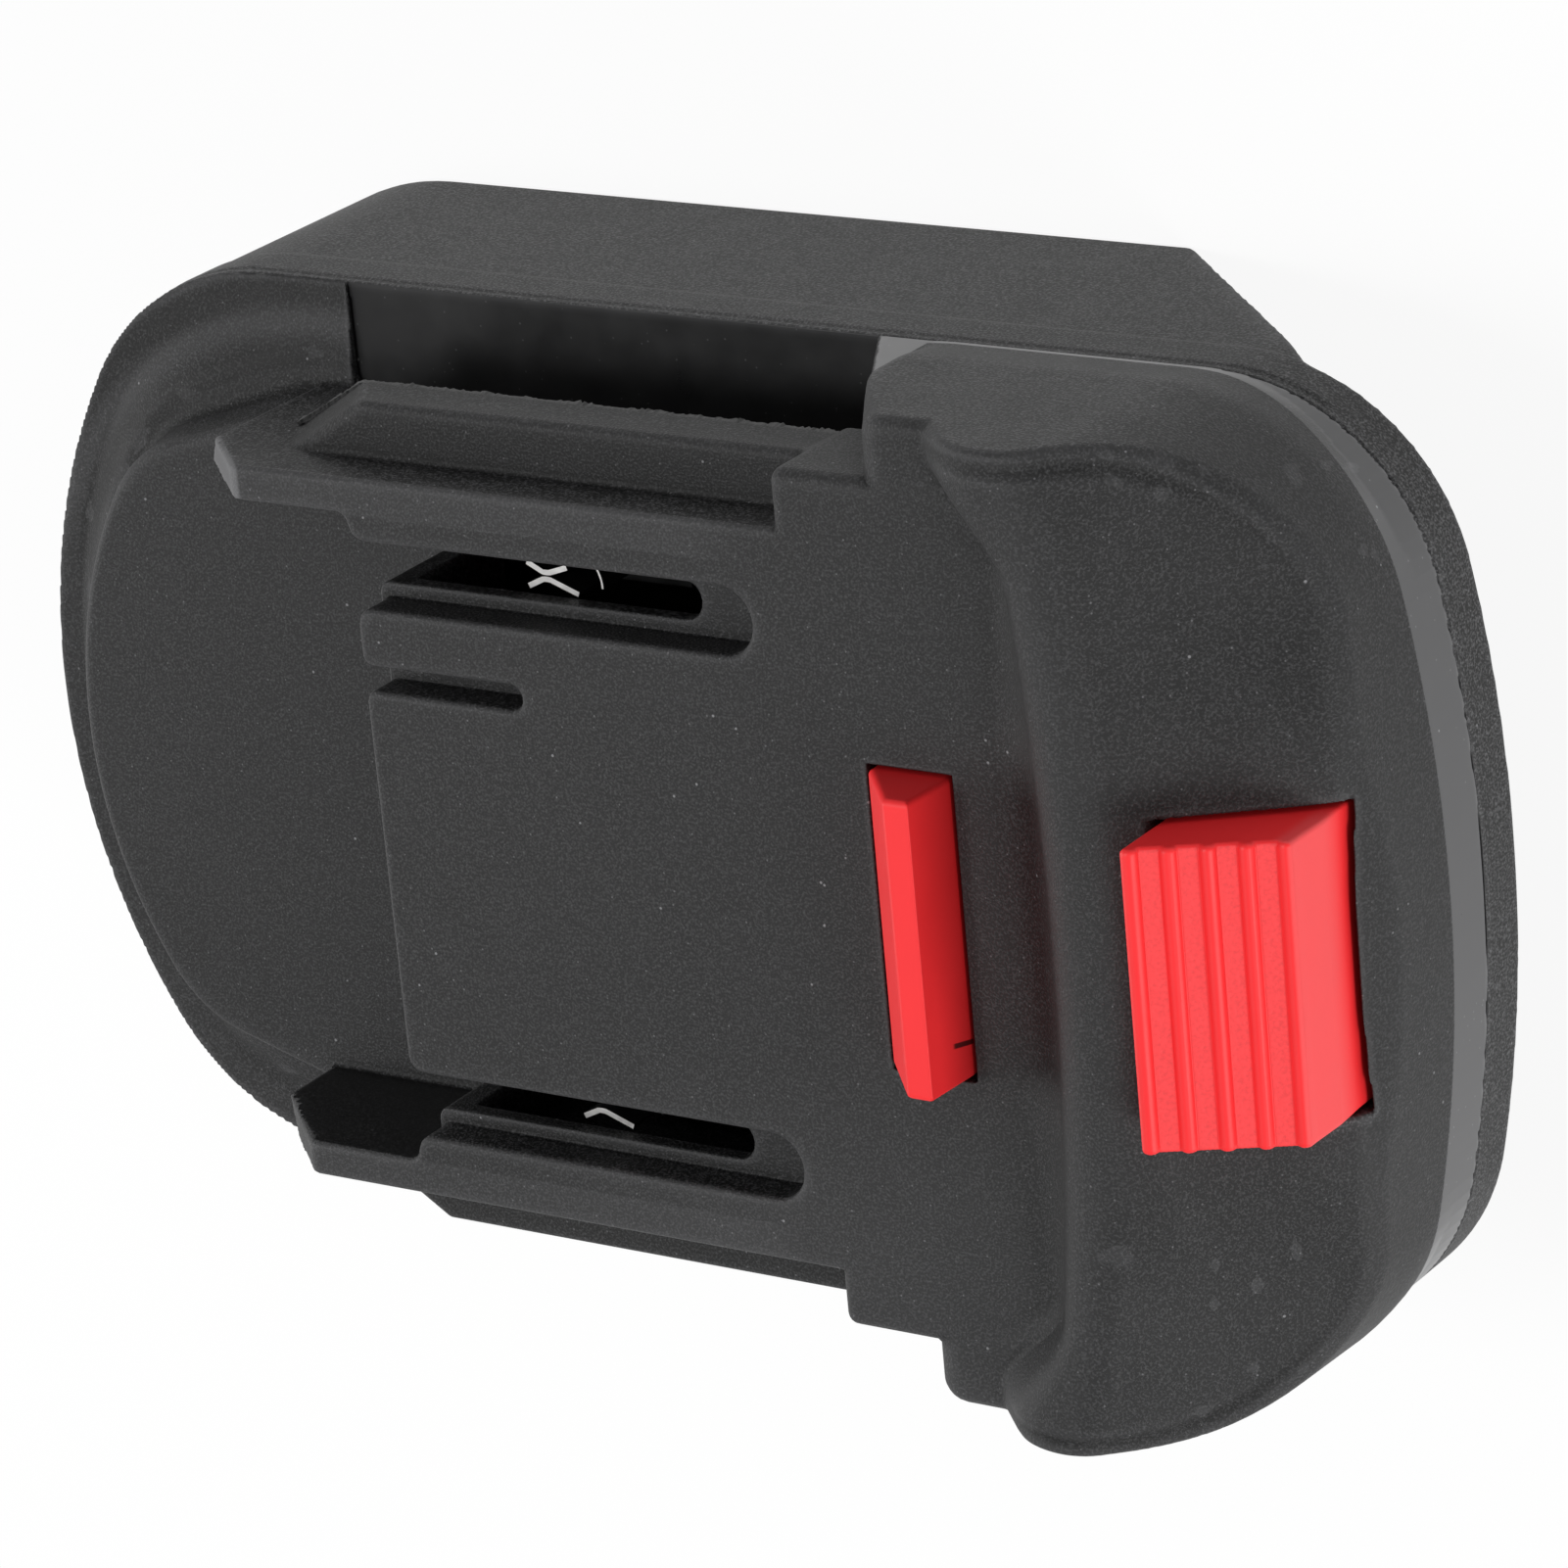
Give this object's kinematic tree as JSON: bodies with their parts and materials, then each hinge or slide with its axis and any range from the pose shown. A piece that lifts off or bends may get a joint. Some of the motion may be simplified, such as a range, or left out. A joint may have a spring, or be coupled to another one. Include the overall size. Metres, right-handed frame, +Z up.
{
  "type": "tool battery adapter",
  "caption": "Slide-on adapter that lets a cordless tool take another maker's pack: railed deck with contact slots above, open pack receiver below, red latch worked by a ribbed push button.",
  "frame": {"origin": "centre of the bounding box's bottom, on the plane of the receiver's rim", "axes": "+X along the rails towards the button end, +Y across the rails, +Z up from the pack side to the tool side"},
  "size_m": [0.116, 0.069, 0.0491],
  "materials": {
    "charcoal_plastic": "fine spark-eroded grain",
    "dark_plastic": "satin",
    "red_plastic": "semi-gloss",
    "inner_plastic": "matte",
    "spring_steel": "bright",
    "plated_contact": "tin plated",
    "brass_blade": "bright",
    "screw_steel": "zinc plated",
    "red_insulation": "smooth",
    "black_insulation": "smooth"
  },
  "bodies": {
    "housing": {"tool_side_shell": "charcoal_plastic", "battery_side_shell": "dark_plastic", "latch_spring_left": "spring_steel", "latch_spring_right": "spring_steel", "positive_contact": "plated_contact", "negative_contact": "plated_contact", "positive_contact_holder": "inner_plastic", "negative_contact_holder": "inner_plastic", "contact_holder_screws": "screw_steel", "terminal_block": "inner_plastic", "positive_blade": "brass_blade", "negative_blade": "brass_blade", "positive_lead": "red_insulation", "negative_lead": "black_insulation", "case_screws": "screw_steel", "terminal_block_screws": "screw_steel"},
    "release": {"latch": "red_plastic", "release_button": "red_plastic", "latch_carrier": "inner_plastic", "carrier_screws": "screw_steel"}
  },
  "joints": [
    {"name": "release_press", "type": "slide", "parent": "housing", "child": "release", "axis": [0, 0, -1], "range_m": [0, 0.0046], "stiffness_N_per_m": 1500, "springref_m": -0.003, "deforming": ["latch_spring_left", "latch_spring_right"]}
  ]
}
